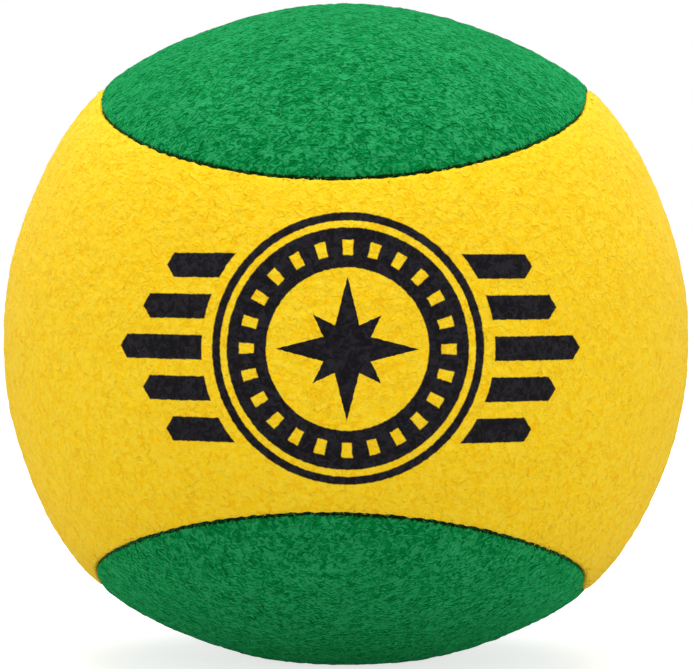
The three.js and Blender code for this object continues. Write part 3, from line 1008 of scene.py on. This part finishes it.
def badge_group():
    """The ink mask of the badge on the front of the yellow waist, from 0 to 1."""
    tree, given, result = new_group("round badge print", [("Vector", "Vector", None)], [("Ink", "Float")])
    vector = given["Vector"]
    split = tree.nodes.new("ShaderNodeSeparateXYZ")
    plug(tree, vector, split.inputs[0])
    x = badge_place(tree, vector, split.outputs[0], BADGE_SIDE, INK_RAGGED_SIZES[0])
    z = badge_place(tree, vector, split.outputs[2], MIDDLE[2] + BADGE_RISE, INK_RAGGED_SIZES[1])
    squares = maths(tree, "ADD", maths(tree, "POWER", x, 2.0), maths(tree, "POWER", z, 2.0))
    radius = maths(tree, "SQRT", squares)
    angle = maths(tree, "ARCTAN2", z, x)

    tick_wave = maths(tree, "COSINE", maths(tree, "MULTIPLY", angle, TICK_COUNT))
    spokes = remap(tree, tick_wave, TICK_LEVELS)
    ticks = maths(tree, "MULTIPLY", ring_mask(tree, radius, BADGE_TICKS), spokes)
    band = maths(tree, "SUBTRACT", ring_mask(tree, radius, BADGE_BAND), ticks)
    ink = maths(tree, "MAXIMUM", ring_mask(tree, radius, BADGE_OUTER), band)
    for tip, valley, turned in zip(ROSE_TIPS, ROSE_VALLEYS, (0.0, math.pi / 4)):
        ink = maths(tree, "MAXIMUM", ink, star_mask(tree, radius, angle, tip, valley, turned))

    side = maths(tree, "ABSOLUTE", x)
    height = maths(tree, "ABSOLUTE", z)
    for step, end in enumerate(BAR_ENDS):
        off = maths(tree, "ABSOLUTE", maths(tree, "SUBTRACT", height, step * BAR_PITCH))
        flat = inside(tree, maths(tree, "SUBTRACT", off, BAR_HALF_HEIGHT))
        begins = inside(tree, maths(tree, "SUBTRACT", BAR_START, radius))
        tapered = maths(tree, "MULTIPLY_ADD", off, BAR_TAPER_SHARE, side)
        ends = inside(tree, maths(tree, "SUBTRACT", tapered, end))
        bar = maths(tree, "MULTIPLY", flat, maths(tree, "MULTIPLY", begins, ends))
        ink = maths(tree, "MAXIMUM", ink, bar)
    front = remap(tree, split.outputs[1], (0.0, -MM))
    plug(tree, maths(tree, "MULTIPLY", ink, front, clamp=True), result["Ink"])
    return tree


def finish_fleece(tree, shader, colour, height, depth, gloss, sheen, tint):
    plug(tree, colour, shader.inputs["Base Color"])
    plug(tree, bump(tree, height, depth), shader.inputs["Normal"])
    shader.inputs["Roughness"].default_value = FLEECE_ROUGHNESS
    shader.inputs["Specular IOR Level"].default_value = gloss
    shader.inputs["Sheen Weight"].default_value = sheen
    shader.inputs["Sheen Roughness"].default_value = FLEECE_SHEEN_ROUGHNESS
    shader.inputs["Sheen Tint"].default_value = tint


def worn_in_patches(tree, vector, size, colour, worn_colour):
    """A colour that gives way a little to a worn one, in soft patches of about the given size."""
    patches = noise(tree, vector, size)
    return mix_colour(tree, remap(tree, patches, PATCH_LEVELS, PATCH_TONES), colour, worn_colour)


def yellow_fleece(pile, badge):
    """Yellow pile with the badge printed on it, where the ink presses the pile down."""
    material, tree, shader = new_material("yellow fleece")
    vector = object_coordinates(tree)
    # Pit is painted shade in the pile's hollows, and Fibre is painted highlight on its raised tufts.
    nap = place_group(
        tree, pile, Vector=vector, Tuft=attribute(tree, "tuft"),
        Body=srgb(254, 210, 22), Fibre=srgb(255, 222, 58), Pit=srgb(250, 188, 10),
        Fibre_Share=0.55, Pit_Share=0.65,
    )
    worn = worn_in_patches(tree, vector, 9.0, nap["Color"], srgb(250, 198, 20))
    ink = place_group(tree, badge, Vector=vector)["Ink"]
    raised = remap(tree, nap["Height"], (0.4, 0.7), (0.0, 0.6))
    inked = mix_colour(tree, raised, srgb(18, 16, 20), srgb(46, 44, 50))
    colour = mix_colour(tree, ink, worn, inked)
    height = maths(tree, "MULTIPLY", nap["Height"], maths(tree, "MULTIPLY_ADD", ink, -0.35, 1.0))
    finish_fleece(
        tree, shader, colour, height,
        depth=0.22, gloss=0.12, sheen=0.12, tint=srgb(255, 244, 200),
    )
    return material


def green_fleece(pile):
    """Green pile, with shade painted nearly black along the groove of the seam, raggedly."""
    material, tree, shader = new_material("green fleece")
    vector = object_coordinates(tree)
    # Pit is painted shade in the pile's hollows, and Fibre is painted highlight on its raised tufts.
    nap = place_group(
        tree, pile, Vector=vector, Tuft=attribute(tree, "tuft"),
        Body=srgb(0, 124, 56), Fibre=srgb(52, 170, 105), Pit=srgb(0, 82, 37),
        Fibre_Share=0.62, Pit_Share=0.6,
    )
    worn = worn_in_patches(tree, vector, 8.0, nap["Color"], srgb(0, 120, 57))
    # Painted shade: the colour turns nearly black in the seam's groove, raggedly by the pile's height.
    nearness = maths(tree, "ADD", attribute(tree, "near_seam"), 0.6)
    ragged = maths(tree, "MULTIPLY_ADD", nap["Height"], -1.2, nearness)
    colour_with_painted_seam_shade = mix_colour(tree, remap(tree, ragged, (0.35, 0.75)), worn, srgb(16, 36, 6))
    finish_fleece(
        tree, shader, colour_with_painted_seam_shade, nap["Height"],
        depth=0.54, gloss=0.03, sheen=0.6, tint=srgb(60, 255, 150),
    )
    return material


# The pellets and the threads.

BATCH_SIZE = PELLET_DIAMETER * 1.5
CLOUD_SIZE = 0.7
SCUFF_SIZE = 0.12
SCUFF_WEIGHT = 0.3
SCUFF_ROUGHNESS = (0.32, 0.55)
PELLET_GRAIN = 0.03
PELLET_GLOSS = 0.45
FIBRE_LINE_SIZE = 0.05
FIBRE_LINE_ROUGHNESS = (0.75, 0.55)
FIBRE_LINE_DEPTH = 0.02
THREAD_PATCH_SIZE = 1.5
THREAD_SHEEN = 0.15


def pellet_plastic():
    """Moulded plastic, milky and a little uneven from pellet to pellet, scuffed by its neighbours."""
    material, tree, shader = new_material("pellet plastic")
    vector = object_coordinates(tree)
    batch = noise(tree, vector, BATCH_SIZE, detail=1.0)
    cloud = noise(tree, vector, CLOUD_SIZE, detail=3.0)
    scuffs = noise(tree, vector, SCUFF_SIZE)
    toned = mix_colour(tree, remap(tree, batch, (0.35, 0.65)), srgb(214, 219, 224), srgb(236, 238, 238))
    clouded = remap(tree, cloud, (0.4, 0.7), (0.0, 0.35))
    plug(tree, mix_colour(tree, clouded, toned, srgb(205, 211, 218)), shader.inputs["Base Color"])
    plug(tree, remap(tree, scuffs, (0.4, 0.65), SCUFF_ROUGHNESS), shader.inputs["Roughness"])
    height = maths(tree, "MULTIPLY_ADD", scuffs, SCUFF_WEIGHT, cloud)
    plug(tree, bump(tree, height, PELLET_GRAIN), shader.inputs["Normal"])
    shader.inputs["Specular IOR Level"].default_value = PELLET_GLOSS
    return material


def thread_polyester():
    """Spun polyester: cream, with the fine lines of its fibres."""
    material, tree, shader = new_material("polyester thread")
    vector = object_coordinates(tree)
    fibres = noise(tree, vector, FIBRE_LINE_SIZE, distortion=0.8)
    patches = noise(tree, vector, THREAD_PATCH_SIZE, detail=1.0)
    lit = mix_colour(tree, remap(tree, fibres, (0.35, 0.65)), srgb(204, 196, 172), srgb(238, 232, 214))
    soiled = remap(tree, patches, (0.4, 0.7), (0.0, 0.3))
    plug(tree, mix_colour(tree, soiled, lit, srgb(212, 202, 178)), shader.inputs["Base Color"])
    plug(tree, remap(tree, fibres, (0.3, 0.7), FIBRE_LINE_ROUGHNESS), shader.inputs["Roughness"])
    plug(tree, bump(tree, fibres, FIBRE_LINE_DEPTH), shader.inputs["Normal"])
    shader.inputs["Sheen Weight"].default_value = THREAD_SHEEN
    return material


# The camera, the lights and the floor.

# Each softbox: its name, place, size and power, in metres and watts.
SOFTBOXES = (
    ("top softbox", (0.0, -0.08, 0.80), 0.7, 5.0),
    ("back softbox", (0.0, 0.50, 0.62), 0.6, 2.4),
    ("left softbox", (-0.8, -0.45, 0.15), 0.6, 1.9),
    ("right softbox", (0.8, -0.45, 0.15), 0.6, 1.9),
)
WORLD_LIGHT = 0.54
FLOOR_SIZE = 6000.0
FLOOR_SHADE = 0.5
FLOOR_ROUGHNESS = 0.9
FLOOR_GLOW = 0.14
FLOOR_GLOW_IN_VIEW = 0.58


def add_camera():
    data = bpy.data.cameras.new("camera")
    camera = bpy.data.objects.new("camera", data)
    bpy.context.scene.collection.objects.link(camera)
    data.sensor_width = SENSOR_WIDTH
    data.lens = FOCAL_PIXELS * SENSOR_WIDTH / PHOTO_WIDTH
    data.clip_start = CLIP_START * MM
    middle = Vector(MIDDLE) * MM
    level = math.cos(CAMERA_RISE)
    away = Vector((level * math.sin(CAMERA_SIDE), -level * math.cos(CAMERA_SIDE), math.sin(CAMERA_RISE)))
    camera.location = middle + away * CAMERA_DISTANCE * MM
    aim = middle - Vector((0, 0, CAMERA_DROP * MM))
    facing = (aim - camera.location).to_track_quat("-Z", "Y")
    roll = Matrix.Rotation(CAMERA_ROLL, 3, "Z")
    camera.rotation_euler = (facing.to_matrix() @ roll).to_euler()
    bpy.context.scene.camera = camera


def add_softbox(name, place, size, power):
    data = bpy.data.lights.new(name, "AREA")
    data.shape = "DISK"
    data.size = size
    data.energy = power
    light = bpy.data.objects.new(name, data)
    bpy.context.scene.collection.objects.link(light)
    light.location = place
    light.rotation_euler = (Vector(MIDDLE) * MM - Vector(place)).to_track_quat("-Z", "Y").to_euler()


def add_world():
    """Even light all round, and white behind the object."""
    world = bpy.data.worlds.new("studio")
    bpy.context.scene.world = world
    world.use_nodes = True
    tree = world.node_tree
    paths = tree.nodes.new("ShaderNodeLightPath")
    seen = maths(tree, "MAXIMUM", paths.outputs["Is Camera Ray"], paths.outputs["Is Glossy Ray"])
    seen = maths(tree, "MAXIMUM", seen, paths.outputs["Is Transmission Ray"])
    level = maths(tree, "MULTIPLY_ADD", seen, 1 - WORLD_LIGHT, WORLD_LIGHT)
    background = tree.nodes["Background"]
    background.inputs["Color"].default_value = (1, 1, 1, 1)
    plug(tree, level, background.inputs["Strength"])


def add_floor():
    """A pale floor that shows white to the camera, with the bag's shadow on it."""
    bpy.ops.object.select_all(action="DESELECT")
    bpy.ops.mesh.primitive_plane_add(size=FLOOR_SIZE * MM)
    floor = bpy.context.object
    floor.name = "floor"
    material, tree, shader = new_material("white floor")
    shader.inputs["Base Color"].default_value = (FLOOR_SHADE, FLOOR_SHADE, FLOOR_SHADE, 1)
    shader.inputs["Roughness"].default_value = FLOOR_ROUGHNESS
    glow = tree.nodes.new("ShaderNodeEmission")
    paths = tree.nodes.new("ShaderNodeLightPath")
    strength = maths(tree, "MULTIPLY_ADD", paths.outputs["Is Camera Ray"], FLOOR_GLOW_IN_VIEW, FLOOR_GLOW)
    plug(tree, strength, glow.inputs["Strength"])
    both = tree.nodes.new("ShaderNodeAddShader")
    tree.links.new(shader.outputs[0], both.inputs[0])
    tree.links.new(glow.outputs[0], both.inputs[1])
    tree.links.new(both.outputs[0], tree.nodes["Material Output"].inputs["Surface"])
    floor.data.materials.append(material)


# The scene is made here, in this order.

add_camera()
add_world()
for softbox in SOFTBOXES:
    add_softbox(*softbox)
add_floor()

PILE = fleece_group()
BADGE = badge_group()
green = panel_mesh("green_cover", -1, green_spine, GREEN_EDGE, COLUMNS // 4, 0.0)
dress_panel(green, "green_panel", green_fleece(PILE), GREEN_PILE_SEED)
yellow = panel_mesh("yellow_cover", 1, yellow_spine, YELLOW_EDGE, 0, teeth())
dress_panel(yellow, "yellow_panel", yellow_fleece(PILE, BADGE), YELLOW_PILE_SEED)
for number in range(NAP_PIECES):
    nap_piece(f"green_nap_{number + 1}", green, GREEN_NAP_SEED + number)
    nap_piece(f"yellow_nap_{number + 1}", yellow, YELLOW_NAP_SEED + number)
THREAD = thread_polyester()
needle_thread(THREAD)
bobbin_thread(THREAD)
closing_thread(THREAD)
PELLET = pellet_plastic()
settled_pellets(PELLET)
loose_pellets(PELLET)

bpy.context.scene.view_settings.view_transform = "Standard"
